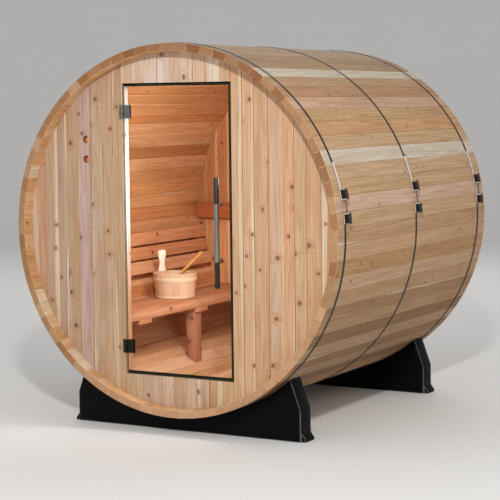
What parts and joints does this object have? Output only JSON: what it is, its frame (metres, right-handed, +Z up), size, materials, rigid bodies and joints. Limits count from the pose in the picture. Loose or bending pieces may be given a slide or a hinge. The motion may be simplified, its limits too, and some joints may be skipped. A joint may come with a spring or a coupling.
{
  "type": "barrel sauna",
  "caption": "Outdoor barrel sauna: a horizontal stave barrel held by steel hoops on two dark cradles, with board end walls, a hinged glass door and a slatted bench inside.",
  "frame": {"origin": "middle of the footprint, on the ground under both cradles", "axes": "+X to the right as seen from in front of the door, +Y along the barrel from the door end to the rear end, +Z up"},
  "size_m": [1.8902, 1.829, 1.9171],
  "materials": {
    "barrel_staves": "planed cedar, oiled",
    "wall_boards": "planed knotty cedar",
    "door_frame_boards": "planed cedar",
    "wall_rail": "planed red cedar",
    "black_seal": "matt",
    "hinge_metal": "satin",
    "door_glass": "clear toughened",
    "handle_steel": "satin",
    "hoop_steel": "plain band",
    "tensioner_steel": "dark zinc",
    "cradle_plastic": "moulded",
    "bench_wood": "planed cedar",
    "backrest_wood": "planed cedar",
    "bucket_wood": "planed pine",
    "ladle_wood": "varnished"
  },
  "bodies": {
    "cabin": {"barrel_segment_01": "barrel_staves", "barrel_segment_02": "barrel_staves", "barrel_segment_03": "barrel_staves", "barrel_segment_04": "barrel_staves", "barrel_segment_05": "barrel_staves", "barrel_segment_06": "barrel_staves", "barrel_segment_07": "barrel_staves", "barrel_segment_08": "barrel_staves", "barrel_segment_09": "barrel_staves", "barrel_segment_10": "barrel_staves", "barrel_segment_11": "barrel_staves", "barrel_segment_12": "barrel_staves", "front_wall_left": "wall_boards", "front_wall_right": "wall_boards", "front_wall_top": "wall_boards", "front_wall_bottom": "wall_boards", "rear_wall": "wall_boards", "rear_wall_rail": "wall_rail", "door_frame_left": "door_frame_boards", "door_frame_right": "door_frame_boards", "door_frame_top": "door_frame_boards", "door_frame_bottom": "door_frame_boards", "door_stops": "black_seal", "hinge_leaf_upper": "hinge_metal", "hinge_leaf_lower": "hinge_metal", "hoop_front": "hoop_steel", "hoop_middle": "hoop_steel", "hoop_rear": "hoop_steel", "tensioners_front": "tensioner_steel", "tensioners_middle": "tensioner_steel", "tensioners_rear": "tensioner_steel", "cradle_front": "cradle_plastic", "cradle_rear": "cradle_plastic", "bench_slats": "bench_wood", "bench_cleats": "bench_wood", "bench_leg": "bench_wood", "backrest_slats": "backrest_wood", "backrest_supports": "backrest_wood", "bucket": "bucket_wood", "ladle": "ladle_wood"},
    "door": {"door_glass": "door_glass", "hinge_clamp_upper": "hinge_metal", "hinge_clamp_lower": "hinge_metal", "door_handle": "handle_steel", "handle_caps": "handle_steel"}
  },
  "joints": [
    {"name": "door_hinge", "type": "hinge", "parent": "cabin", "child": "door", "pos_m": [-0.307, -0.8505, 1.0005], "axis": [0, 0, -1], "range_deg": [0, 110]}
  ]
}
